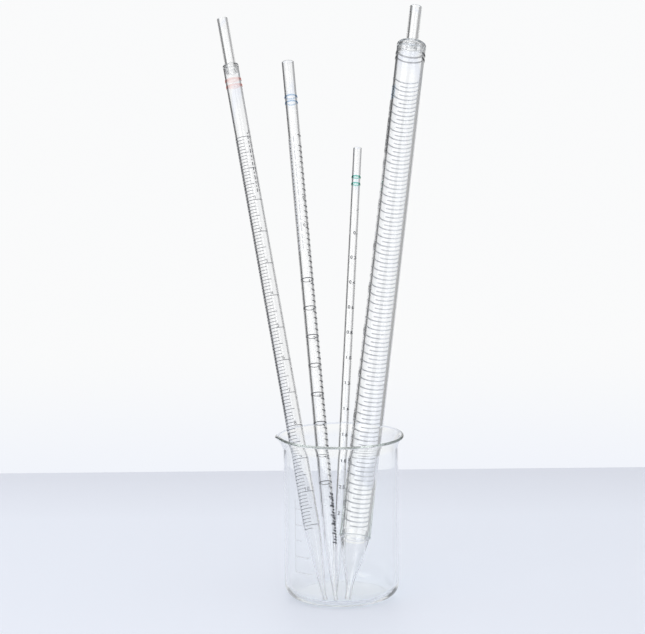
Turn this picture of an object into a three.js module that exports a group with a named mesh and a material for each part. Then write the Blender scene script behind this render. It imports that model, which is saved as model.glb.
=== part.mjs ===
// Pipette set: four serological pipettes (50, 10, 5 and 2 mL) leaning in a 250 mL beaker.
//
// Millimetres, +Z up. The origin is the centre of the beaker's flat underside. The front is -Y.
// Every pipette is built upright on its own axis, with its tip end at height 0, and is then
// leaned into the beaker by the group that carries it.

import * as THREE from 'three';

const DEGREE = Math.PI / 180;

// Gap kept where two pieces touch, and the thinner gap under the printed rings.
const REST_GAP = 0.3;
const PRINT_GAP = 0.05;
const PRINT_THICKNESS = 0.12;

const BEAKER = {
  segments: 56,
  outerRadius: 34,
  wall: 1.7,
  floor: 2.4,
  cornerRadius: 8,
  flareStart: 90,
  flareRadius: 8.15,
  flareAngle: 50 * DEGREE,
};

// The pouring spout is a shallow push outwards and down of the flared rim.
const SPOUT = {
  direction: 166 * DEGREE,
  halfWidth: 15 * DEGREE,
  reach: 2.6,
  dip: 1.8,
  bottom: 84,
  top: 97,
};

// Height at which the point where each pipette passes the rim is given.
const RIM_LEVEL = 90;

// Where each pipette stands: tip on the beaker floor, and its axis at RIM_LEVEL, both as [x, y].
// Outlines are [height along the pipette, radius] pairs.
const PIPETTES = {
  fifty: {
    segments: 40,
    tipAt: [2.95, -26.0],
    rimAt: [15.2, 15.35],
    length: 378.6,
    bodyRadius: 9.2,
    boreRadius: 7.7,
    bodyStart: 38.4,
    bodyEnd: 350.2,
    ringHeights: [342.7, 345.9],
    ringWidth: 1.0,
    ink: 0x15161a,
  },
  ten: {
    segments: 28,
    tipAt: [-9.95, -25.0],
    rimAt: [-25.65, 7.95],
    length: 363,
    bodyRadius: 4.88,
    boreRadius: 3.95,
    bodyEnd: 330.7,
    tipOuter: [[0, 1.45], [4, 1.5], [9.2, 1.7], [18.8, 2.65], [27, 3.4], [35, 4.15], [43, 4.65], [51, 4.88]],
    tipBore: [[0, 0.7], [5, 0.75], [11, 1.05], [20, 1.95], [28, 2.7], [36, 3.45], [44, 3.85], [51, 3.95]],
    ringHeights: [318.8, 322.7],
    ringWidth: 1.1,
    ink: 0xe2603c,
  },
  five: {
    segments: 24,
    tipAt: [-3.8, -26.5],
    rimAt: [-11.5, 24.1],
    length: 353,
    bodyRadius: 3.95,
    boreRadius: 2.94,
    bodyEnd: 353,
    tipOuter: [[0, 1.35], [4, 1.4], [9, 1.6], [18, 2.4], [27, 3.1], [34, 3.52], [44, 3.95]],
    tipBore: [[0, 0.65], [5, 0.7], [10, 0.95], [19, 1.7], [28, 2.4], [35, 2.78], [41, 2.94]],
    ringHeights: [324.2, 328.4],
    ringWidth: 1.0,
    ink: 0x2f74b8,
  },
  two: {
    segments: 20,
    tipAt: [-4.15, -19.8],
    rimAt: [1.75, 27.85],
    length: 288.3,
    bodyRadius: 2.72,
    boreRadius: 1.98,
    bodyEnd: 288.3,
    tipOuter: [[0, 1.1], [4, 1.15], [9, 1.3], [16, 1.8], [24, 2.35], [34, 2.72]],
    tipBore: [[0, 0.5], [5, 0.55], [10, 0.7], [17, 1.2], [25, 1.75], [31, 1.98]],
    ringHeights: [263.9, 268.6],
    ringWidth: 1.0,
    ink: 0x27a08a,
  },
};

// The welded cone tip of the 50 mL pipette. Its spigot goes up inside the body.
const FIFTY_TIP = {
  outer: [[0, 1.9], [4.3, 1.95], [8.9, 2.1], [13.9, 3.0], [19.5, 4.5], [24.8, 6.0], [31.5, 7.2], [37.1, 8.3]],
  bore: [[0, 1.0], [4.8, 1.05], [9.7, 1.25], [14.8, 2.1], [20.4, 3.6], [25.7, 5.0], [32.3, 6.2], [37.1, 6.75]],
  ledgeRadius: 8.6,
  ledgeBottom: 37.6,
  ledgeTop: 38.25,
  spigotRadius: 7.5,
  spigotBore: 6.75,
  spigotTop: 41.8,
};

// Mouthpieces: a narrow neck on a rounded shoulder, with a spigot down inside the body.
const FIFTY_MOUTH = {
  neckRadius: 3.85,
  neckBore: 2.55,
  shoulderTop: 354.2,
  shoulderRound: 2.2,
  spigotRadius: 7.5,
  spigotBore: 6.6,
  spigotBottom: 346.0,
};
const TEN_MOUTH = {
  neckRadius: 3.4,
  neckBore: 2.35,
  shoulderTop: 333.2,
  shoulderRound: 0.95,
  spigotRadius: 3.8,
  spigotBore: 3.1,
  spigotBottom: 327.0,
};

// Full-circle marks of the 5 mL scale, one every 0.5 mL up the body.
const FIVE_MARKS = { first: 73.0, step: 18.67, count: 12, width: 0.5 };

function arc(centreX, centreY, radius, from, to, steps) {
  const points = [];
  for (let i = 0; i <= steps; i += 1) {
    const angle = from + ((to - from) * i) / steps;
    points.push([centreX + radius * Math.cos(angle), centreY + radius * Math.sin(angle)]);
  }
  return points;
}

// A solid of revolution about +Z from [radius, height] points. With the points listed upwards
// along the outside, the faces point outwards.
function revolve(points, segments) {
  const profile = points.map(([radius, height]) => new THREE.Vector2(radius, height));
  const geometry = new THREE.LatheGeometry(profile, segments);
  geometry.rotateX(Math.PI / 2);
  return geometry;
}

// A hollow solid of revolution: up the outside, then down the inside and back to the start.
function revolveHollow(outside, inside, segments) {
  return revolve([...outside, ...inside, outside[0]], segments);
}

function swapPairs(pairs) {
  return pairs.map(([height, radius]) => [radius, height]);
}

function clearPlastic() {
  return new THREE.MeshStandardMaterial({ color: 0xf1f6f8, roughness: 0.08, transparent: true, opacity: 0.45 });
}

function labGlass() {
  return new THREE.MeshStandardMaterial({ color: 0xf3f7fb, roughness: 0.04, transparent: true, opacity: 0.35 });
}

function printInk(colour) {
  return new THREE.MeshStandardMaterial({ color: colour, roughness: 0.5 });
}

function piece(name, geometry, material) {
  const mesh = new THREE.Mesh(geometry, material);
  mesh.name = name;
  return mesh;
}

function smoothStep(value) {
  const t = Math.min(1, Math.max(0, value));
  return t * t * (3 - 2 * t);
}

function pushOutSpout(geometry) {
  const position = geometry.getAttribute('position');
  for (let i = 0; i < position.count; i += 1) {
    const x = position.getX(i);
    const y = position.getY(i);
    const z = position.getZ(i);
    const rise = smoothStep((z - SPOUT.bottom) / (SPOUT.top - SPOUT.bottom));
    if (rise > 0) {
      const turn = Math.atan2(y, x) - SPOUT.direction;
      const nearest = Math.atan2(Math.sin(turn), Math.cos(turn));
      const share = rise * Math.exp(-((nearest / SPOUT.halfWidth) ** 2));
      const stretch = 1 + (SPOUT.reach * share) / Math.hypot(x, y);
      position.setXYZ(i, x * stretch, y * stretch, z - SPOUT.dip * share);
    }
  }
}

function makeBeaker() {
  const outer = BEAKER.outerRadius;
  const inner = outer - BEAKER.wall;
  const corner = BEAKER.cornerRadius;
  const innerCorner = corner - BEAKER.wall;
  const flareCentre = outer + BEAKER.flareRadius;
  const flareEnd = Math.PI - BEAKER.flareAngle;
  const midFlare = BEAKER.flareRadius + BEAKER.wall / 2;
  const lipX = flareCentre + midFlare * Math.cos(flareEnd);
  const lipZ = BEAKER.flareStart + midFlare * Math.sin(flareEnd);
  const profile = [
    [0, 0],
    ...arc(outer - corner, corner, corner, -90 * DEGREE, 0, 6),
    ...arc(flareCentre, BEAKER.flareStart, BEAKER.flareRadius, Math.PI, flareEnd, 4),
    ...arc(lipX, lipZ, BEAKER.wall / 2, flareEnd - Math.PI, flareEnd, 5).slice(1, -1),
    ...arc(flareCentre, BEAKER.flareStart, BEAKER.flareRadius + BEAKER.wall, flareEnd, Math.PI, 4),
    ...arc(inner - innerCorner, BEAKER.floor + innerCorner, innerCorner, 0, -90 * DEGREE, 5),
    [0, BEAKER.floor],
  ];
  const geometry = revolve(profile, BEAKER.segments);
  pushOutSpout(geometry);
  return piece('beaker', geometry, labGlass());
}

// A thin printed ring round the body of a pipette.
function makeRing(name, pipette, height, width, colour) {
  const inside = pipette.bodyRadius + PRINT_GAP;
  const outside = inside + PRINT_THICKNESS;
  const low = height - width / 2;
  const high = height + width / 2;
  const geometry = revolveHollow([[outside, low], [outside, high]], [[inside, high], [inside, low]], pipette.segments);
  return piece(name, geometry, printInk(colour));
}

function makeColourRings(prefix, pipette) {
  return pipette.ringHeights.map((height, i) =>
    makeRing(`${prefix}_colour_ring_${i + 1}`, pipette, height, pipette.ringWidth, pipette.ink));
}

// A straight tube whose lower end is drawn down to a narrow tip.
function makeDrawnBarrel(name, pipette) {
  const outside = [...swapPairs(pipette.tipOuter), [pipette.bodyRadius, pipette.bodyEnd]];
  const inside = [[pipette.boreRadius, pipette.bodyEnd], ...swapPairs(pipette.tipBore).reverse()];
  return piece(name, revolveHollow(outside, inside, pipette.segments), clearPlastic());
}

function makeFiftyBarrel(pipette) {
  const outside = [[pipette.bodyRadius, pipette.bodyStart], [pipette.bodyRadius, pipette.bodyEnd]];
  const inside = [[pipette.boreRadius, pipette.bodyEnd], [pipette.boreRadius, pipette.bodyStart]];
  return piece('fifty_ml_barrel', revolveHollow(outside, inside, pipette.segments), clearPlastic());
}

function makeFiftyTip(pipette) {
  const tip = FIFTY_TIP;
  const outside = [
    ...swapPairs(tip.outer),
    [tip.ledgeRadius, tip.ledgeBottom],
    [tip.ledgeRadius, tip.ledgeTop],
    [tip.spigotRadius, tip.ledgeTop],
    [tip.spigotRadius, tip.spigotTop],
  ];
  const inside = [[tip.spigotBore, tip.spigotTop], ...swapPairs(tip.bore).reverse()];
  return piece('fifty_ml_tip', revolveHollow(outside, inside, pipette.segments), clearPlastic());
}

function makeMouthpiece(name, pipette, mouth) {
  const round = mouth.shoulderRound;
  const seat = pipette.bodyEnd + PRINT_GAP;
  const outside = [
    [mouth.spigotRadius, mouth.spigotBottom],
    [mouth.spigotRadius, seat],
    [pipette.bodyRadius, seat],
    ...arc(pipette.bodyRadius - round, mouth.shoulderTop - round, round, 0, 90 * DEGREE, 4),
    [mouth.neckRadius + 0.5, mouth.shoulderTop],
    [mouth.neckRadius, mouth.shoulderTop + 0.6],
    [mouth.neckRadius, pipette.length],
  ];
  const inside = [
    [mouth.neckBore, pipette.length],
    [mouth.neckBore, seat + 0.4],
    [mouth.spigotBore, seat - 0.6],
    [mouth.spigotBore, mouth.spigotBottom],
  ];
  return piece(name, revolveHollow(outside, inside, pipette.segments), clearPlastic());
}

function makeFiveMarks(pipette) {
  const marks = [];
  for (let i = 0; i < FIVE_MARKS.count; i += 1) {
    const height = FIVE_MARKS.first + FIVE_MARKS.step * i;
    const name = `five_ml_scale_ring_${String(i + 1).padStart(2, '0')}`;
    marks.push(makeRing(name, pipette, height, FIVE_MARKS.width, 0x2a2d33));
  }
  return marks;
}

// Leans an upright pipette so that its tip rests on the floor and its side on the rim.
function standInBeaker(name, pipette, tipRadius, pieces) {
  const [tipX, tipY] = pipette.tipAt;
  const [rimX, rimY] = pipette.rimAt;
  const direction = new THREE.Vector3(rimX - tipX, rimY - tipY, RIM_LEVEL - BEAKER.floor).normalize();
  const lean = Math.acos(direction.z);
  const group = new THREE.Group();
  group.name = name;
  group.add(...pieces);
  group.position.set(tipX, tipY, BEAKER.floor + REST_GAP + tipRadius * Math.sin(lean));
  group.quaternion.setFromUnitVectors(new THREE.Vector3(0, 0, 1), direction);
  return group;
}

function makeFifty() {
  const pipette = PIPETTES.fifty;
  return standInBeaker('fifty_ml', pipette, FIFTY_TIP.outer[0][1], [
    makeFiftyBarrel(pipette),
    makeFiftyTip(pipette),
    makeMouthpiece('fifty_ml_mouthpiece', pipette, FIFTY_MOUTH),
    ...makeColourRings('fifty_ml', pipette),
  ]);
}

function makeTen() {
  const pipette = PIPETTES.ten;
  return standInBeaker('ten_ml', pipette, pipette.tipOuter[0][1], [
    makeDrawnBarrel('ten_ml_barrel', pipette),
    makeMouthpiece('ten_ml_mouthpiece', pipette, TEN_MOUTH),
    ...makeColourRings('ten_ml', pipette),
  ]);
}

function makeFive() {
  const pipette = PIPETTES.five;
  return standInBeaker('five_ml', pipette, pipette.tipOuter[0][1], [
    makeDrawnBarrel('five_ml_barrel', pipette),
    ...makeColourRings('five_ml', pipette),
    ...makeFiveMarks(pipette),
  ]);
}

function makeTwo() {
  const pipette = PIPETTES.two;
  return standInBeaker('two_ml', pipette, pipette.tipOuter[0][1], [
    makeDrawnBarrel('two_ml_barrel', pipette),
    ...makeColourRings('two_ml', pipette),
  ]);
}

const pipetteSet = new THREE.Group();
pipetteSet.name = 'pipette_set';
pipetteSet.add(makeBeaker(), makeFifty(), makeTen(), makeFive(), makeTwo());
pipetteSet.updateMatrixWorld(true);

export default pipetteSet;
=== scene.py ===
"""Pipette set: four clear serological pipettes leaning in a low glass beaker.

Metres, +Z up, origin at the centre of the beaker's underside, front towards -Y. Sizes below are
in millimetres and repeat those of the CAD part. Each pipette is built upright in its own local
frame: +Z runs up its axis from the tip end, and -Y is the side that faces the front.
"""

import math

import bmesh
import bpy
from mathutils import Matrix, Vector


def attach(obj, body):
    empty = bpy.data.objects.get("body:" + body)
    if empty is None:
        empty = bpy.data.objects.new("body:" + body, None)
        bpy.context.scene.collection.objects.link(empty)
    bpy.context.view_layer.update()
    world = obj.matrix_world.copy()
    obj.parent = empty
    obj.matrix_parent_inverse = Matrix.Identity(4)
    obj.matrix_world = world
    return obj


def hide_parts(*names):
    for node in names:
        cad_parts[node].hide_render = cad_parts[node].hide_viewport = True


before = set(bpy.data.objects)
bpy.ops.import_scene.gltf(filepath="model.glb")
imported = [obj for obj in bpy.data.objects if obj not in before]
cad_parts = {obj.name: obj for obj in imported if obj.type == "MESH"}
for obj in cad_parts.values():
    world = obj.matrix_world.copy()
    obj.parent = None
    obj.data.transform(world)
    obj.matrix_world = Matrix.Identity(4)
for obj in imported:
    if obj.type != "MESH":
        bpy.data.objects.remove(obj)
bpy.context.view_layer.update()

MM = 0.001
TAU = 2 * math.pi

# ---------------------------------------------------------------- sizes, in millimetres

BEAKER = dict(
    outer=34.0, wall=1.7, floor=2.4, corner=8.0,
    flare_start=90.0, flare_radius=8.15, flare_angle=math.radians(50),
)
SPOUT = dict(
    direction=math.radians(166), half_width=math.radians(15),
    reach=2.6, dip=1.8, bottom=84.0, top=97.0,
)
REST_GAP = 0.3          # between a tip and the beaker's floor
RIM_HEIGHT = 90.0       # the height at which a pipette leans on the beaker
PRINT_GAP = 0.05        # between a tube's wall and the colour rings
NECK_FILLET = 0.45
INNER_NECK_DROP = 1.1   # from the shoulder's top to the gap round the neck inside it

# A pipette's axis passes through tip_at on the beaker's floor and rim_at at the rim's height.
# Outlines of the tips are (height, radius) points.

FIFTY = dict(
    name="fifty_ml", tip_at=(2.95, -26.0), rim_at=(15.2, 15.35), length=378.6,
    body=9.2, bore=7.7, body_start=38.4, body_end=350.2,
    rings=(342.7, 345.9), ring_width=1.0, tip_radius=1.9,
)
FIFTY_TIP = dict(
    outer=[(0, 1.9), (4.3, 1.95), (8.9, 2.1), (13.9, 3.0), (19.5, 4.5), (24.8, 6.0),
           (31.5, 7.2), (37.1, 8.3)],
    bore=[(0, 1.0), (4.8, 1.05), (9.7, 1.25), (14.8, 2.1), (20.4, 3.6), (25.7, 5.0),
          (32.3, 6.2), (37.1, 6.75)],
    ledge=8.6, ledge_bottom=37.6, ledge_top=38.25, spigot=7.5, spigot_top=41.8,
)
FIFTY_MOUTH = dict(
    neck=3.85, bore=2.55, shoulder_top=354.2, round=2.2,
    spigot=7.5, spigot_bore=6.6, spigot_bottom=346.0, inner=3.6, inner_end=348.4,
)
TEN = dict(
    name="ten_ml", tip_at=(-9.95, -25.0), rim_at=(-25.65, 7.95), length=363.0,
    body=4.88, bore=3.95, body_end=330.7, rings=(318.8, 322.7), ring_width=1.5,
    tip_radius=1.45,
    tip_outer=[(0, 1.45), (4, 1.5), (9.2, 1.7), (18.8, 2.65), (27, 3.4), (35, 4.15),
               (43, 4.65), (51, 4.88)],
    tip_bore=[(0, 0.7), (5, 0.75), (11, 1.05), (20, 1.95), (28, 2.7), (36, 3.45),
              (44, 3.85), (51, 3.95)],
)
TEN_MOUTH = dict(
    neck=3.4, bore=2.35, shoulder_top=333.2, round=0.95,
    spigot=3.8, spigot_bore=3.15, spigot_bottom=327.0, inner=2.8, inner_end=326.6,
)
FIVE = dict(
    name="five_ml", tip_at=(-3.8, -26.5), rim_at=(-11.5, 24.1), length=353.0,
    body=3.95, bore=2.94, body_end=353.0, rings=(324.2, 328.4), ring_width=1.0,
    tip_radius=1.35,
    tip_outer=[(0, 1.35), (4, 1.4), (9, 1.6), (18, 2.4), (27, 3.1), (34, 3.52), (44, 3.95)],
    tip_bore=[(0, 0.65), (5, 0.7), (10, 0.95), (19, 1.7), (28, 2.4), (35, 2.78),
              (41, 2.94)],
)
TWO = dict(
    name="two_ml", tip_at=(-4.15, -19.8), rim_at=(1.75, 27.85), length=288.3,
    body=2.72, bore=1.98, body_end=288.3, rings=(263.9, 268.6), ring_width=1.0,
    tip_radius=1.1,
    tip_outer=[(0, 1.1), (4, 1.15), (9, 1.3), (16, 1.8), (24, 2.35), (34, 2.72)],
    tip_bore=[(0, 0.5), (5, 0.55), (10, 0.7), (17, 1.2), (25, 1.75), (31, 1.98)],
)

# Printed scales. Heights run up the pipette from its tip end. A mark is its start angle, end
# angle and line width; angles are in degrees round the tube from the front, positive to the
# right. Numbers are their angle, rise above the mark, size and stroke width.

FIFTY_SCALE = dict(
    zero=324.0, step=2.682, first=-2, end=104,
    whole=(105, 268, 0.8), half=(105, 208, 0.74), five=(268, 292, 0.3),
    number=(277, 0.5, 3.0, 0.42),
    label_angles=(258, 270, 282), label_bottom=280.0, label_width=0.8,
    label_lengths=(5.0, 2.4, 6.5, 3.2, 4.4, 1.8, 5.6),
    tint_angles=(286, 296, 306), tint=(314, 323, 1.2),
)
TEN_SCALE = dict(
    top=285.4, step=2.002, end=122, upright=(-80, 43.0, 285.4, 0.5),
    whole=(-95, 70, 0.34), half=(-95, 24, 0.32), tick=(-95, 5, 0.3),
    number=(12, 0.4, 2.2, 0.26), numbered=range(20, 115),
    label_bottom=250.0, label_lengths=(2.2, 1.0, 1.6, 2.8, 1.2, 2.0),
)
FIVE_SCALE = dict(
    first=73.0, step=18.67, count=12, upright=(-80, 52.0, 299.0, 0.45),
    rings=8, ring_width=0.5, part_ring=(20, 120, 0.3),
    tick=(30, 104, 0.5), ticks=range(-7, 62),
    dense_bottom=35.0, dense_count=17, dense_start=22, dense_shift=14, dense_end=106,
    dense_width=0.8, number=(36, -3.1, 1.9, 0.34),
    label_bottom=222.0, label_lengths=(1.6, 0.9, 2.2, 1.2, 1.8),
)
TWO_SCALE = dict(
    zero=230.8, step=16.29, count=12, ticks=131,
    whole=(60, 150, 0.2), half=(75, 130, 0.18), tick=(85, 118, 0.16),
    number=(14, -1.2, 2.0, 0.42),
)
BEAKER_SCALE = dict(
    angle=-53, low=19.5, high=63, width=0.45,
    first=20.0, step=9.5, reaches=(22, 18, 9, 18, 9),
)

# ---------------------------------------------------------------- the studio, in metres

TABLE = dict(half_width=2.4, front=-2.2, back=0.346, thick=0.03, below_object=0.0002)
CAMERA = dict(lens=144.45, place=(-0.0101, -1.5, 0.407), look_down=9.05, roll=-0.56)
MOST_BOUNCES = 256      # light that runs inside a glass wall needs this many to get out

# ---------------------------------------------------------------- small helpers


def smooth_step(value):
    t = min(1.0, max(0.0, value))
    return t * t * (3 - 2 * t)


def arc(cx, cz, radius, start, end, steps):
    points = []
    for i in range(steps + 1):
        a = start + (end - start) * i / steps
        points.append((cx + radius * math.cos(a), cz + radius * math.sin(a)))
    return points


def fair(outline, step=1.0):
    """[(height, radius)] made into a smooth monotone curve, as (radius, height) points."""
    h = [p[0] for p in outline]
    r = [p[1] for p in outline]
    n = len(h)
    slopes = [(r[i + 1] - r[i]) / (h[i + 1] - h[i]) for i in range(n - 1)]
    tangents = [slopes[0]]
    for i in range(1, n - 1):
        a, b = slopes[i - 1], slopes[i]
        tangents.append(0.0 if a * b <= 0 else 2 * a * b / (a + b))
    tangents.append(0.0)
    points = []
    for i in range(n - 1):
        length = h[i + 1] - h[i]
        count = max(2, round(length / step))
        for k in range(count):
            t = k / count
            t2, t3 = t * t, t * t * t
            value = (
                (2 * t3 - 3 * t2 + 1) * r[i]
                + (t3 - 2 * t2 + t) * length * tangents[i]
                + (3 * t2 - 2 * t3) * r[i + 1]
                + (t3 - t2) * length * tangents[i + 1]
            )
            points.append((value, h[i] + t * length))
    points.append((r[-1], h[-1]))
    return points


def lathe(profile, segments, closed):
    """A solid of revolution about +Z from (radius, height) points in mm."""
    verts, rings = [], []
    for radius, height in profile:
        if radius < 1e-6:
            rings.append([len(verts)])
            verts.append((0, 0, height * MM))
            continue
        rings.append(list(range(len(verts), len(verts) + segments)))
        for i in range(segments):
            a = TAU * i / segments
            verts.append((radius * math.sin(a) * MM, -radius * math.cos(a) * MM, height * MM))
    faces = []
    pairs = list(zip(rings, rings[1:]))
    if closed:
        pairs.append((rings[-1], rings[0]))
    for low, high in pairs:
        for i in range(segments):
            j = (i + 1) % segments
            if len(low) == 1:
                faces.append((low[0], high[j], high[i]))
            elif len(high) == 1:
                faces.append((low[i], low[j], high[0]))
            else:
                faces.append((low[i], low[j], high[j], high[i]))
    return verts, faces


def placement(pipette):
    """Where a pipette stands: its local frame in the row frame."""
    tip_x, tip_y = pipette["tip_at"]
    rim_x, rim_y = pipette["rim_at"]
    axis = Vector((rim_x - tip_x, rim_y - tip_y, RIM_HEIGHT - BEAKER["floor"])).normalized()
    lean = math.acos(axis.z)
    front = Vector((0, -1, 0))
    front = (front - axis * front.dot(axis)).normalized()
    right = axis.cross(front)
    height = BEAKER["floor"] + REST_GAP + pipette["tip_radius"] * math.sin(lean)
    matrix = Matrix.Identity(4)
    for row in range(3):
        matrix[row][0] = right[row]
        matrix[row][1] = -front[row]
        matrix[row][2] = axis[row]
    matrix[0][3], matrix[1][3], matrix[2][3] = tip_x * MM, tip_y * MM, height * MM
    return matrix


def mesh_with_own_frame(name, verts, faces):
    """A mesh that keeps its local positions as the attribute "own_frame" for its material."""
    mesh = bpy.data.meshes.new(name)
    mesh.from_pydata(verts, [], faces)
    own = mesh.attributes.new("own_frame", "FLOAT_VECTOR", "POINT")
    own.data.foreach_set("vector", [c for v in verts for c in v])
    return mesh


def add_piece(name, verts, faces, material, body, nodes=(), matrix=None, sharp=35.0):
    """Adds a piece from a mesh given in its local frame, and stands it where matrix says."""
    mesh = mesh_with_own_frame(name, verts, faces)
    if matrix is not None:
        mesh.transform(matrix)
    bm = bmesh.new()
    bm.from_mesh(mesh)
    bmesh.ops.recalc_face_normals(bm, faces=bm.faces)
    bm.to_mesh(mesh)
    bm.free()
    mesh.shade_smooth()
    mesh.set_sharp_from_angle(angle=math.radians(sharp))
    mesh.materials.append(material)
    piece = bpy.data.objects.new(name, mesh)
    bpy.context.scene.collection.objects.link(piece)
    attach(piece, body)
    if nodes:
        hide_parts(*nodes)


# ---------------------------------------------------------------- materials


CLEAR_SHADOW = (0.97, 0.98, 0.985)


def new_material(name):
    material = bpy.data.materials.new(name)
    material.use_nodes = True
    material.node_tree.nodes.clear()
    return material, material.node_tree.nodes, material.node_tree.links


def noise_in_own_frame(nodes, links, scale, detail, stretch=(1, 1, 1)):
    coordinates = nodes.new("ShaderNodeAttribute")
    coordinates.attribute_name = "own_frame"
    mapping = nodes.new("ShaderNodeMapping")
    mapping.inputs["Scale"].default_value = stretch
    noise = nodes.new("ShaderNodeTexNoise")
    noise.inputs["Scale"].default_value = scale
    noise.inputs["Detail"].default_value = detail
    links.new(coordinates.outputs["Vector"], mapping.inputs["Vector"])
    links.new(mapping.outputs["Vector"], noise.inputs["Vector"])
    return noise


def spread(nodes, links, source, low, high):
    """Maps a 0 to 1 value to the range low to high."""
    ranged = nodes.new("ShaderNodeMapRange")
    ranged.inputs["To Min"].default_value = low
    ranged.inputs["To Max"].default_value = high
    links.new(source, ranged.inputs["Value"])
    return ranged.outputs["Result"]


def add_absorption(nodes, links, output, colour, density):
    """Makes light lose strength, most in what colour lacks, along its way inside."""
    absorption = nodes.new("ShaderNodeVolumeAbsorption")
    absorption.inputs["Color"].default_value = (*colour, 1)
    absorption.inputs["Density"].default_value = density
    links.new(absorption.outputs["Volume"], output.inputs["Volume"])


def clear_material(name, tint, ior, roughness, waves, loss, loss_density):
    """Clear glass or plastic: slightly uneven surface and roughness, and a light soft shadow.

    waves is the scale, stretch and depth in mm of the unevenness.
    """
    wave_scale, wave_stretch, wave_depth = waves
    material, nodes, links = new_material(name)
    shader = nodes.new("ShaderNodeBsdfPrincipled")
    shader.inputs["Base Color"].default_value = (*tint, 1)
    shader.inputs["IOR"].default_value = ior
    shader.inputs["Transmission Weight"].default_value = 1.0
    noise = noise_in_own_frame(nodes, links, wave_scale, 2.0, wave_stretch)
    links.new(spread(nodes, links, noise.outputs["Fac"], roughness[0], roughness[1]),
              shader.inputs["Roughness"])
    bump = nodes.new("ShaderNodeBump")
    bump.inputs["Strength"].default_value = 1.0
    bump.inputs["Distance"].default_value = wave_depth * MM
    links.new(noise.outputs["Fac"], bump.inputs["Height"])
    links.new(bump.outputs["Normal"], shader.inputs["Normal"])
    path = nodes.new("ShaderNodeLightPath")
    see_through = nodes.new("ShaderNodeBsdfTransparent")
    see_through.inputs["Color"].default_value = (*CLEAR_SHADOW, 1)
    mix = nodes.new("ShaderNodeMixShader")
    output = nodes.new("ShaderNodeOutputMaterial")
    links.new(path.outputs["Is Shadow Ray"], mix.inputs["Fac"])
    links.new(shader.outputs["BSDF"], mix.inputs[1])
    links.new(see_through.outputs["BSDF"], mix.inputs[2])
    links.new(mix.outputs["Shader"], output.inputs["Surface"])
    # Light that runs a long way inside the wall comes out dimmer.
    add_absorption(nodes, links, output, loss, loss_density)
    return material


def ink_material(name, dark, light):
    """Printed ink: its tone wanders a little between two shades, as a thin print does."""
    material, nodes, links = new_material(name)
    shader = nodes.new("ShaderNodeBsdfPrincipled")
    noise = noise_in_own_frame(nodes, links, 900.0, 3.0)
    ramp = nodes.new("ShaderNodeValToRGB")
    ramp.color_ramp.elements[0].position = 0.3
    ramp.color_ramp.elements[0].color = (*dark, 1)
    ramp.color_ramp.elements[1].position = 0.75
    ramp.color_ramp.elements[1].color = (*light, 1)
    links.new(noise.outputs["Fac"], ramp.inputs["Fac"])
    links.new(ramp.outputs["Color"], shader.inputs["Base Color"])
    links.new(spread(nodes, links, noise.outputs["Fac"], 0.35, 0.6), shader.inputs["Roughness"])
    output = nodes.new("ShaderNodeOutputMaterial")
    links.new(shader.outputs["BSDF"], output.inputs["Surface"])
    return material


def film_material(name, colour, density, ior):
    """A thin film of ink that light passes through: pale face on, deep where it is seen edge on."""
    material, nodes, links = new_material(name)
    shader = nodes.new("ShaderNodeBsdfPrincipled")
    shader.inputs["Base Color"].default_value = (1, 1, 1, 1)
    shader.inputs["IOR"].default_value = ior
    shader.inputs["Transmission Weight"].default_value = 1.0
    noise = noise_in_own_frame(nodes, links, 700.0, 2.0)
    links.new(spread(nodes, links, noise.outputs["Fac"], 0.0, 0.06), shader.inputs["Roughness"])
    output = nodes.new("ShaderNodeOutputMaterial")
    links.new(shader.outputs["BSDF"], output.inputs["Surface"])
    add_absorption(nodes, links, output, colour, density)
    return material


PLASTIC_WAVES = (120.0, (1, 1, 0.06), 0.004)

GLASS = clear_material("beaker_glass_clear", (0.993, 0.997, 0.996), 1.47, (0.0, 0.012),
                       (30.0, (1, 1, 0.5), 0.02), (0.80, 0.825, 0.82), 9.0)
PLASTIC = clear_material("polystyrene_clear", (0.998, 0.999, 1.0), 1.57, (0.0, 0.02),
                         PLASTIC_WAVES, (0.42, 0.45, 0.46), 28.0)
# The wide barrel bends light a little less than polystyrene does, which keeps its edges thin.
WIDE_PLASTIC = clear_material("polystyrene_wide_barrel", (0.982, 0.986, 0.992), 1.46,
                              (0.03, 0.05), PLASTIC_WAVES, (0.35, 0.5, 0.5), 1.5)
SCALE_INK = ink_material("ink_scale_dark", (0.012, 0.013, 0.02), (0.05, 0.055, 0.075))
FINE_INK = ink_material("ink_scale_fine", (0.05, 0.055, 0.07), (0.15, 0.155, 0.18))
SOFT_INK = ink_material("ink_scale_grey", (0.46, 0.47, 0.51), (0.60, 0.61, 0.65))
BLACK_INK = ink_material("ink_black", (0.004, 0.004, 0.006), (0.02, 0.02, 0.026))
BLACK_FILM = film_material("film_black", (0.1, 0.1, 0.13), 9000.0, 1.12)
RED_FILM = film_material("film_orange_red", (0.9, 0.5, 0.45), 4200.0, 1.03)
BLUE_FILM = film_material("film_blue", (0.06, 0.38, 0.66), 6000.0, 1.03)
GREEN_FILM = film_material("film_green", (0.05, 0.70, 0.60), 13000.0, 1.03)
FAINT_INK = ink_material("ink_beaker_faint", (0.6, 0.61, 0.64), (0.72, 0.73, 0.76))

# ---------------------------------------------------------------- the beaker


def push_out_spout(verts):
    moved = []
    for x, y, z in verts:
        rise = smooth_step((z / MM - SPOUT["bottom"]) / (SPOUT["top"] - SPOUT["bottom"]))
        radius = math.hypot(x, y)
        if rise > 0 and radius > 1e-6:
            turn = math.atan2(y, x) - SPOUT["direction"]
            nearest = math.atan2(math.sin(turn), math.cos(turn))
            share = rise * math.exp(-((nearest / SPOUT["half_width"]) ** 2))
            stretch = 1 + SPOUT["reach"] * MM * share / radius
            x, y, z = x * stretch, y * stretch, z - SPOUT["dip"] * MM * share
        moved.append((x, y, z))
    return moved


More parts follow.
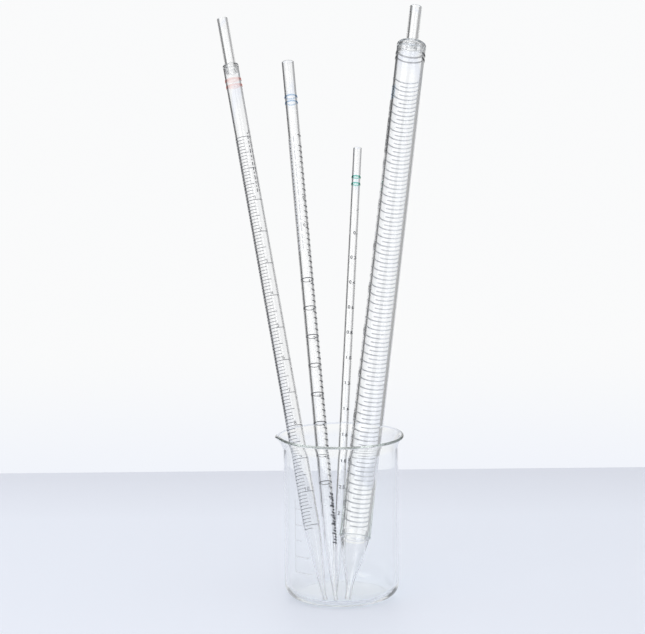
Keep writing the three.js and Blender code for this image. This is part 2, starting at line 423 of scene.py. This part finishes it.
def make_beaker():
    b = BEAKER
    outer, corner = b["outer"], b["corner"]
    inner, inner_corner = outer - b["wall"], corner - b["wall"]
    flare_centre = outer + b["flare_radius"]
    flare_end = math.pi - b["flare_angle"]
    middle = b["flare_radius"] + b["wall"] / 2
    lip_x = flare_centre + middle * math.cos(flare_end)
    lip_z = b["flare_start"] + middle * math.sin(flare_end)
    half_pi = math.pi / 2
    profile = [(0, 0), (outer - corner - 3, 0)]
    profile += arc(outer - corner, corner, corner, -half_pi, 0, 20)
    for i in range(1, 8):
        profile.append((outer, corner + (b["flare_start"] - corner) * i / 8))
    profile += arc(flare_centre, b["flare_start"], b["flare_radius"], math.pi, flare_end, 14)
    profile += arc(lip_x, lip_z, b["wall"] / 2, flare_end - math.pi, flare_end, 12)[1:-1]
    profile += arc(flare_centre, b["flare_start"], b["flare_radius"] + b["wall"],
                   flare_end, math.pi, 14)
    for i in range(7, 0, -1):
        profile.append((inner, corner + (b["flare_start"] - corner) * i / 8))
    profile += arc(inner - inner_corner, b["floor"] + inner_corner, inner_corner,
                   0, -half_pi, 18)
    profile += [(inner - inner_corner - 3, b["floor"]), (0, b["floor"])]
    verts, faces = lathe(profile, 192, closed=False)
    verts = push_out_spout(verts)
    add_piece("glass_beaker", verts, faces, GLASS, "beaker", ["beaker"])


# ---------------------------------------------------------------- the pipettes' clear pieces


def rounded_end(outer, inner, height, fillet, up):
    """The end of a tube wall with small rounded corners, from its outside to its inside."""
    sign = 1 if up else -1
    outside = [(outer - fillet * (1 - math.cos(a)), height - sign * fillet * (1 - math.sin(a)))
               for a in (0, 0.4, 0.8, 1.2, math.pi / 2)]
    inside = [(inner + fillet * (1 - math.cos(a)), height - sign * fillet * (1 - math.sin(a)))
              for a in (math.pi / 2, 1.2, 0.8, 0.4, 0)]
    return outside + inside


def body_stations(start, end, count):
    return [start + (end - start) * i / count for i in range(1, count)]


def make_drawn_barrel(pipette, segments):
    r, bore, end = pipette["body"], pipette["bore"], pipette["body_end"]
    outer = fair(pipette["tip_outer"])
    inner = fair(pipette["tip_bore"])
    low_end = rounded_end(outer[0][0], inner[0][0], 0.0, 0.16, up=False)[::-1]
    profile = low_end + outer[2:]
    profile += [(r, h) for h in body_stations(outer[-1][1], end, 6)]
    profile += rounded_end(r, bore, end, 0.22, up=True)
    profile += [(bore, h) for h in reversed(body_stations(inner[-1][1], end, 6))]
    profile += inner[::-1][:-2]
    verts, faces = lathe(profile, segments, closed=True)
    name = pipette["name"]
    add_piece(f"{name}_clear_barrel", verts, faces, PLASTIC, f"{name}_pipette",
              [f"{name}_barrel"], placement(pipette))


def make_fifty_barrel():
    p = FIFTY
    stations = body_stations(p["body_start"], p["body_end"], 8)
    profile = rounded_end(p["body"], p["bore"], p["body_start"], 0.2, up=False)[::-1]
    profile += [(p["body"], h) for h in stations]
    profile += rounded_end(p["body"], p["bore"], p["body_end"], 0.15, up=True)
    profile += [(p["bore"], h) for h in reversed(stations)]
    verts, faces = lathe(profile, 144, closed=True)
    add_piece("fifty_ml_clear_barrel", verts, faces, WIDE_PLASTIC, "fifty_ml_pipette",
              ["fifty_ml_barrel"], placement(p))


def make_fifty_tip():
    tip = FIFTY_TIP
    outer, inner = fair(tip["outer"]), fair(tip["bore"])
    profile = rounded_end(outer[0][0], inner[0][0], 0.0, 0.2, up=False)[::-1] + outer[2:]
    profile += [(tip["ledge"], tip["ledge_bottom"]), (tip["ledge"], tip["ledge_top"]),
                (tip["spigot"], tip["ledge_top"]), (tip["spigot"], tip["spigot_top"]),
                (inner[-1][0], tip["spigot_top"])]
    profile += inner[::-1][:-2]
    verts, faces = lathe(profile, 112, closed=True)
    add_piece("fifty_ml_clear_tip", verts, faces, PLASTIC, "fifty_ml_pipette",
              ["fifty_ml_tip"], placement(FIFTY))


def make_mouthpiece(pipette, mouth, segments):
    body, round_, top = pipette["body"], mouth["round"], mouth["shoulder_top"]
    seat = pipette["body_end"] + PRINT_GAP
    neck = mouth["neck"]
    profile = [(mouth["spigot"], mouth["spigot_bottom"]), (mouth["spigot"], seat), (body, seat)]
    profile += arc(body - round_, top - round_, round_, 0, math.pi / 2, 10)
    profile += arc(neck + NECK_FILLET, top + NECK_FILLET, NECK_FILLET, -math.pi / 2, -math.pi, 6)
    profile += [(neck, h) for h in body_stations(top + NECK_FILLET, pipette["length"], 4)]
    profile += rounded_end(neck, mouth["bore"], pipette["length"], 0.25, up=True)
    # Inside, the neck goes on down as a tube of its own within the spigot.
    profile += rounded_end(mouth["inner"], mouth["bore"], mouth["inner_end"], 0.2, up=False)[::-1]
    gap = (mouth["spigot_bore"] - mouth["inner"]) / 2
    profile += arc(mouth["inner"] + gap, top - INNER_NECK_DROP - gap, gap, math.pi, 0, 8)
    profile += [(mouth["spigot_bore"], mouth["spigot_bottom"])]
    verts, faces = lathe(profile, segments, closed=True)
    name = pipette["name"]
    add_piece(f"{name}_clear_mouthpiece", verts, faces, PLASTIC, f"{name}_pipette",
              [f"{name}_mouthpiece"], placement(pipette))


# ---------------------------------------------------------------- printing


class Print:
    """Ink laid on a tube: closed thin strips that follow the curve of its wall."""

    LIFT = 0.012

    def __init__(self, radius, taper=(), thickness=0.035):
        self.radius = radius
        self.thickness = thickness
        self.taper = taper
        self.verts = []
        self.faces = []

    def radius_at(self, height):
        """The wall's radius, from the taper's (radius, height) points below its top."""
        for (low_r, low_h), (high_r, high_h) in zip(self.taper, self.taper[1:]):
            if low_h <= height < high_h:
                return low_r + (high_r - low_r) * (height - low_h) / (high_h - low_h)
        return self.radius

    def point(self, along_round, height, lift):
        angle = along_round / self.radius
        r = self.radius_at(height) + lift
        return (r * math.sin(angle) * MM, -r * math.cos(angle) * MM, height * MM)

    def ribbon(self, points, width, closed=False):
        """A strip along (mm round the wall, mm up) points."""
        base = len(self.verts)
        n = len(points)
        half = width / 2
        for i, (u, v) in enumerate(points):
            before = points[i - 1] if (i or closed) else points[i]
            after = points[(i + 1) % n] if (i < n - 1 or closed) else points[i]
            # A closed strip is always a level ring.
            du, dv = (1.0, 0.0) if closed else (after[0] - before[0], after[1] - before[1])
            size = math.hypot(du, dv) or 1.0
            nu, nv = -dv / size * half, du / size * half
            for side, lift in ((1, self.LIFT), (-1, self.LIFT),
                               (-1, self.LIFT + self.thickness),
                               (1, self.LIFT + self.thickness)):
                self.verts.append(self.point(u + side * nu, v + side * nv, lift))
        spans = n if closed else n - 1
        for i in range(spans):
            a, b = base + 4 * i, base + 4 * ((i + 1) % n)
            for k in range(4):
                m = (k + 1) % 4
                self.faces.append((a + k, a + m, b + m, b + k))
        if not closed:
            last = base + 4 * (n - 1)
            self.faces.append((base, base + 3, base + 2, base + 1))
            self.faces.append((last, last + 1, last + 2, last + 3))

    def line_round(self, height, start, end, width):
        """A mark at one height from one angle to another, in degrees."""
        a, b = math.radians(start) * self.radius, math.radians(end) * self.radius
        steps = max(2, int(abs(end - start) / 5))
        self.ribbon([(a + (b - a) * i / steps, height) for i in range(steps + 1)], width)

    def line_up(self, angle, low, high, width):
        u = math.radians(angle) * self.radius
        steps = max(2, round((high - low) / 4))
        self.ribbon([(u, low + (high - low) * i / steps) for i in range(steps + 1)], width)

    def ring(self, height, width):
        steps = 72
        points = [(TAU * self.radius * i / steps, height) for i in range(steps)]
        self.ribbon(points, width, closed=True)

    def number(self, text, mark_height, angle, rise, size, width):
        """Numerals of that size, centred on an angle, standing a little above or below a mark."""
        height = mark_height + rise
        advances = [0.78 * size * (0.5 if c == "." else 1.0) for c in text]
        u = math.radians(angle) * self.radius - sum(advances) / 2
        for c, advance in zip(text, advances):
            left = u if c == "." else u + 0.09 * size
            for stroke in DIGITS[c]:
                self.ribbon([(left + x * size, height + y * size) for x, y in stroke], width)
            u += advance

    def label_bars(self, bottom, count, gap, lengths, columns):
        """Short plain bars in place of text, in columns of (angle, rise, shift, share, width)."""
        height = bottom
        for k in range(count):
            for angle, rise, shift, share, width in columns:
                length = lengths[(k + shift) % len(lengths)] * share
                self.line_up(angle, height + rise, height + rise + length, width)
            height += lengths[k % len(lengths)] + gap

    def finish(self, name, material, matrix, body, slot, nodes=()):
        add_piece(name, self.verts, self.faces, material, body, nodes, matrix, sharp=50.0)


def curve(cx, cy, rx, ry, start, end, steps=10):
    points = []
    for i in range(steps + 1):
        a = math.radians(start + (end - start) * i / steps)
        points.append((cx + rx * math.cos(a), cy + ry * math.sin(a)))
    return points


# Numerals as single strokes in a box 0.6 wide and 1 high.
DIGITS = {
    "0": [curve(0.3, 0.5, 0.26, 0.46, 90, 449, 16)],
    "1": [[(0.12, 0.78), (0.22, 0.86), (0.32, 0.96), (0.32, 0.5), (0.32, 0.04)]],
    "2": [curve(0.3, 0.7, 0.25, 0.26, 170, -30, 9) + [(0.2, 0.28), (0.05, 0.04), (0.56, 0.04)]],
    "3": [curve(0.28, 0.73, 0.24, 0.23, 150, -80, 9),
          curve(0.28, 0.28, 0.27, 0.24, 80, -150, 9)],
    "4": [[(0.44, 0.04), (0.44, 0.5), (0.44, 0.96), (0.24, 0.62), (0.04, 0.3), (0.3, 0.3),
           (0.58, 0.3)]],
    "5": [[(0.52, 0.96), (0.3, 0.96), (0.12, 0.96), (0.1, 0.56)]
          + curve(0.28, 0.33, 0.27, 0.29, 125, -150, 10)],
    "6": [curve(0.5, 0.3, 0.43, 0.66, 105, 180, 6), curve(0.3, 0.3, 0.25, 0.26, 90, 449, 14)],
    "7": [[(0.05, 0.96), (0.3, 0.96), (0.56, 0.96), (0.38, 0.5), (0.22, 0.04)]],
    "8": [curve(0.3, 0.74, 0.21, 0.22, 90, 449, 12), curve(0.3, 0.28, 0.26, 0.24, 90, 449, 14)],
    "9": [curve(0.1, 0.7, 0.43, 0.66, -75, 0, 6), curve(0.3, 0.7, 0.25, 0.26, 90, 449, 14)],
    ".": [[(0.1, 0.02), (0.1, 0.06), (0.1, 0.11)]],
}


def make_colour_rings(pipette, material, slot, span=None):
    """The two rings near the mouth, printed right round or over a span of degrees."""
    name = pipette["name"]
    for i, height in enumerate(pipette["rings"], 1):
        ring = Print(pipette["body"] + PRINT_GAP - Print.LIFT, thickness=0.1)
        if span is None:
            ring.ring(height, pipette["ring_width"])
        else:
            ring.line_round(height, span[0], span[1], pipette["ring_width"])
        ring.finish(f"{name}_printed_ring_{i}", material, placement(pipette),
                    f"{name}_pipette", slot, [f"{name}_colour_ring_{i}"])


def print_beaker():
    """A faint scale on the left of the front: an upright line with marks to its right."""
    scale = BEAKER_SCALE
    marks = Print(BEAKER["outer"])
    angle, width = scale["angle"], scale["width"]
    marks.line_up(angle, scale["low"], scale["high"], width)
    for i, reach in enumerate(scale["reaches"]):
        marks.line_round(scale["first"] + scale["step"] * i, angle, angle + reach, width)
    marks.finish("beaker_faint_scale", FAINT_INK, None, "beaker", "scale_ink")


def print_fifty():
    """Lines on the far side every 0.5 mL, longer at whole millilitres; numbers at the left."""
    scale, radius, body = FIFTY_SCALE, FIFTY["body"], "fifty_ml_pipette"
    marks, numbers, label, tint = (Print(radius) for _ in range(4))
    for i in range(scale["first"], scale["end"]):
        height = scale["zero"] - scale["step"] * i
        marks.line_round(height, *scale["half" if i % 2 else "whole"])
        if i > 0 and i % 10 == 0:
            marks.line_round(height, *scale["five"])
            numbers.number(str(i // 2), height, *scale["number"])
    lengths = scale["label_lengths"]
    for column, angle in enumerate(scale["label_angles"]):
        turned = lengths[3 * column:] + lengths[:3 * column]
        label.label_bars(scale["label_bottom"], 7, 0.9, turned,
                         [(angle, 0, 0, 1, scale["label_width"])])
    for angle in scale["tint_angles"]:
        tint.line_up(angle, *scale["tint"])
    matrix = placement(FIFTY)
    tint.finish("fifty_ml_label_tint", BLUE_FILM, matrix, body, "blue_ink")
    marks.finish("fifty_ml_graduations", SOFT_INK, matrix, body, "scale_ink")
    numbers.finish("fifty_ml_numerals", BLACK_INK, matrix, body, "black_ink")
    label.finish("fifty_ml_label_bars", BLACK_INK, matrix, body, "black_ink")


def print_ten():
    """A comb of lines every 0.1 mL at the left of the front, with numbers to its right."""
    scale, radius, body = TEN_SCALE, TEN["body"], "ten_ml_pipette"
    marks = Print(radius, fair(TEN["tip_outer"]))
    numbers, label = Print(radius), Print(radius)
    marks.line_up(*scale["upright"])
    for i in range(scale["end"]):
        height = scale["top"] - scale["step"] * i
        marks.line_round(height, *scale["tick" if i % 5 else "half" if i % 10 else "whole"])
        if i % 10 == 0 and i in scale["numbered"]:
            numbers.number(str(i // 10 - 1), height, *scale["number"])
    label.label_bars(scale["label_bottom"], 14, 1.0, scale["label_lengths"],
                     [(38, 0, 0, 1, 0.55), (56, 0.6, 2, 0.8, 0.4)])
    matrix = placement(TEN)
    marks.finish("ten_ml_graduations", FINE_INK, matrix, body, "scale_ink")
    numbers.finish("ten_ml_numerals", SCALE_INK, matrix, body, "scale_ink")
    label.finish("ten_ml_label_bars", SCALE_INK, matrix, body, "scale_ink")


def print_five():
    """A ring mark every 0.5 mL with ticks at the right between them, dense near the bottom."""
    scale, radius, body = FIVE_SCALE, FIVE["body"], "five_ml_pipette"
    ticks = Print(radius, fair(FIVE["tip_outer"]))
    numbers, label = Print(radius), Print(radius)
    matrix = placement(FIVE)
    first, step = scale["first"], scale["step"]
    for i in range(scale["count"]):
        height = first + step * i
        ring = Print(radius)
        if i < scale["rings"]:
            ring.ring(height, scale["ring_width"])
        else:
            ring.line_round(height, *scale["part_ring"])
        ring.finish(f"five_ml_printed_mark_{i + 1:02d}", SCALE_INK, matrix, body,
                    "scale_ink", [f"five_ml_scale_ring_{i + 1:02d}"])
        value = (10 - i) / 2
        if value >= 0:
            text = f"{value:.1f}" if i % 2 else str(int(value))
            numbers.number(text, height, *scale["number"])
    ticks.line_up(*scale["upright"])
    for i in scale["ticks"]:
        if i % 5:
            ticks.line_round(first + step / 5 * i, *scale["tick"])
    for i in range(scale["dense_count"]):
        start = scale["dense_start"] + scale["dense_shift"] * (i % 3)
        ticks.line_round(scale["dense_bottom"] + step / 10 * i, start, scale["dense_end"],
                         scale["dense_width"])
    label.label_bars(scale["label_bottom"], 32, 0.9, scale["label_lengths"],
                     [(-46, 0, 0, 1, 0.9), (-8, 0.7, 2, 1, 0.4)])
    ticks.finish("five_ml_graduations", SCALE_INK, matrix, body, "scale_ink")
    numbers.finish("five_ml_numerals", SCALE_INK, matrix, body, "scale_ink")
    label.finish("five_ml_label_bars", SOFT_INK, matrix, body, "scale_ink")


def print_two():
    """Numbers every 0.2 mL down the front, with fine ticks round at the right."""
    scale, radius, body = TWO_SCALE, TWO["body"], "two_ml_pipette"
    ticks, numbers = Print(radius), Print(radius)
    matrix = placement(TWO)
    zero, step = scale["zero"], scale["step"]
    for i in range(scale["count"]):
        text = "0" if i == 0 else f"{0.2 * i:.1f}"
        numbers.number(text, zero - step * i, *scale["number"])
    for i in range(scale["ticks"]):
        height = zero + step - step / 10 * i
        ticks.line_round(height, *scale["tick" if i % 5 else "half" if i % 10 else "whole"])
    ticks.finish("two_ml_graduations", SCALE_INK, matrix, body, "scale_ink")
    numbers.finish("two_ml_numerals", SCALE_INK, matrix, body, "scale_ink")


# ---------------------------------------------------------------- studio


def make_world():
    world = bpy.data.worlds.new("studio")
    bpy.context.scene.world = world
    world.use_nodes = True
    nodes, links = world.node_tree.nodes, world.node_tree.links
    nodes.clear()
    direction = nodes.new("ShaderNodeTexCoord")
    split = nodes.new("ShaderNodeSeparateXYZ")
    links.new(direction.outputs["Generated"], split.inputs["Vector"])
    x, y, z = split.outputs["X"], split.outputs["Y"], split.outputs["Z"]

    def ranged(source, low, high, out_low, out_high):
        node = nodes.new("ShaderNodeMapRange")
        node.interpolation_type = "SMOOTHSTEP"
        node.inputs["From Min"].default_value = low
        node.inputs["From Max"].default_value = high
        node.inputs["To Min"].default_value = out_low
        node.inputs["To Max"].default_value = out_high
        links.new(source, node.inputs["Value"])
        return node.outputs["Result"]

    def math_node(operation, *values):
        node = nodes.new("ShaderNodeMath")
        node.operation = operation
        for socket, value in zip(node.inputs, values):
            if isinstance(value, (int, float)):
                socket.default_value = value
            else:
                links.new(value, socket)
        return node.outputs["Value"]

    # A white wall behind the object with a dark card on each side of it, the left one darker,
    # a pale room round the rest, and a bright ceiling over it all.
    flat = math_node("SQRT", math_node("ADD", math_node("MULTIPLY", x, x),
                                       math_node("MULTIPLY", y, y)))
    flat = math_node("MAXIMUM", flat, 0.001)
    ahead, aside = math_node("DIVIDE", y, flat), math_node("DIVIDE", x, flat)
    wall = ranged(ahead, 0.90, 0.965, 0.0, 1.0)
    cards = ranged(aside, -0.5, 0.5, 0.14, 0.42)
    room = ranged(ahead, 0.25, 0.6, 0.8, 0.0)
    overhead = ranged(z, 0.3, 0.55, 0.0, 0.78)
    walls = math_node("MAXIMUM", wall, math_node("MAXIMUM", cards, room))
    value = math_node("MAXIMUM", walls, overhead)
    # Cool and a touch dimmer in a band above the table's far edge.
    cool = math_node("MULTIPLY", ranged(z, -0.225, -0.165, 1.0, 0.0),
                     ranged(z, -0.26, -0.235, 0.0, 1.0))
    colour = nodes.new("ShaderNodeMix")
    colour.data_type = "RGBA"
    colour.inputs["A"].default_value = (0.955, 0.96, 0.965, 1)
    colour.inputs["B"].default_value = (0.88, 0.905, 0.965, 1)
    links.new(cool, colour.inputs["Factor"])
    background = nodes.new("ShaderNodeBackground")
    output = nodes.new("ShaderNodeOutputWorld")
    links.new(colour.outputs["Result"], background.inputs["Color"])
    links.new(value, background.inputs["Strength"])
    links.new(background.outputs["Background"], output.inputs["Surface"])


def make_table():
    width, front, back = TABLE["half_width"], TABLE["front"], TABLE["back"]
    verts = []
    for z in (-TABLE["thick"], 0.0):
        for x, y in ((-width, front), (width, front), (width, back), (-width, back)):
            verts.append((x, y, z - TABLE["below_object"]))
    faces = [(0, 3, 2, 1), (4, 5, 6, 7), (0, 1, 5, 4), (1, 2, 6, 5), (2, 3, 7, 6), (3, 0, 4, 7)]
    mesh = mesh_with_own_frame("table", verts, faces)
    material, nodes, links = new_material("table_pale")
    shader = nodes.new("ShaderNodeBsdfPrincipled")
    noise = noise_in_own_frame(nodes, links, 3.0, 3.0)
    place = nodes.new("ShaderNodeAttribute")
    place.attribute_name = "own_frame"
    split = nodes.new("ShaderNodeSeparateXYZ")
    links.new(place.outputs["Vector"], split.inputs["Vector"])
    # Painted shade: the colour is darker along the far edge and lighter towards the front, with a
    # faint unevenness over it.
    far = nodes.new("ShaderNodeMapRange")
    far.inputs["From Min"].default_value = back
    far.inputs["From Max"].default_value = 0.20
    far.inputs["To Max"].default_value = 0.9
    links.new(split.outputs["Y"], far.inputs["Value"])
    wander = nodes.new("ShaderNodeMath")
    wander.operation = "MULTIPLY_ADD"
    links.new(noise.outputs["Fac"], wander.inputs[0])
    wander.inputs[1].default_value = 0.12
    links.new(far.outputs["Result"], wander.inputs[2])
    ramp = nodes.new("ShaderNodeValToRGB")
    # The darker colour paints the shade along the far edge; the lighter one is the colour towards
    # the front.
    ramp.color_ramp.elements[0].color = (0.725, 0.75, 0.835, 1)
    ramp.color_ramp.elements[1].color = (0.82, 0.855, 0.945, 1)
    links.new(wander.outputs["Value"], ramp.inputs["Fac"])
    links.new(ramp.outputs["Color"], shader.inputs["Base Color"])
    shader.inputs["Roughness"].default_value = 0.6
    output = nodes.new("ShaderNodeOutputMaterial")
    links.new(shader.outputs["BSDF"], output.inputs["Surface"])
    mesh.materials.append(material)
    table = bpy.data.objects.new("table", mesh)
    bpy.context.scene.collection.objects.link(table)


def add_area(name, location, target, size, power):
    data = bpy.data.lights.new(name, "AREA")
    data.shape = "RECTANGLE"
    data.size, data.size_y = size
    data.energy = power
    lamp = bpy.data.objects.new(name, data)
    lamp.location = location
    aim = Vector(target) - Vector(location)
    lamp.rotation_euler = aim.to_track_quat("-Z", "Y").to_euler()
    bpy.context.scene.collection.objects.link(lamp)


def make_camera():
    data = bpy.data.cameras.new("camera")
    data.sensor_width = 36.0
    data.lens = CAMERA["lens"]
    data.clip_start, data.clip_end = 0.05, 50.0
    camera = bpy.data.objects.new("camera", data)
    pitch, roll = math.radians(90 - CAMERA["look_down"]), math.radians(CAMERA["roll"])
    turn = Matrix.Rotation(pitch, 4, "X") @ Matrix.Rotation(roll, 4, "Z")
    camera.matrix_world = Matrix.Translation(CAMERA["place"]) @ turn
    bpy.context.scene.collection.objects.link(camera)
    bpy.context.scene.camera = camera


make_camera()
make_beaker()
make_fifty_barrel()
make_fifty_tip()
make_mouthpiece(FIFTY, FIFTY_MOUTH, 112)
make_drawn_barrel(TEN, 96)
make_mouthpiece(TEN, TEN_MOUTH, 80)
make_drawn_barrel(FIVE, 96)
make_drawn_barrel(TWO, 80)
make_colour_rings(FIFTY, BLACK_FILM, "black_ink", span=(48, 286))
make_colour_rings(TEN, RED_FILM, "red_ink")
make_colour_rings(FIVE, BLUE_FILM, "blue_ink")
make_colour_rings(TWO, GREEN_FILM, "green_ink")
print_beaker()
print_fifty()
print_ten()
print_five()
print_two()
make_world()
make_table()
add_area("key", (-1.3, -1.2, 2.0), (0.0, 0.0, 0.1), (2.2, 2.2), 26.0)

scene = bpy.context.scene
scene.view_settings.view_transform = "Standard"
scene.cycles.max_bounces = MOST_BOUNCES
scene.cycles.transmission_bounces = MOST_BOUNCES
scene.cycles.glossy_bounces = MOST_BOUNCES
scene.cycles.transparent_max_bounces = 64
scene.cycles.diffuse_bounces = 4
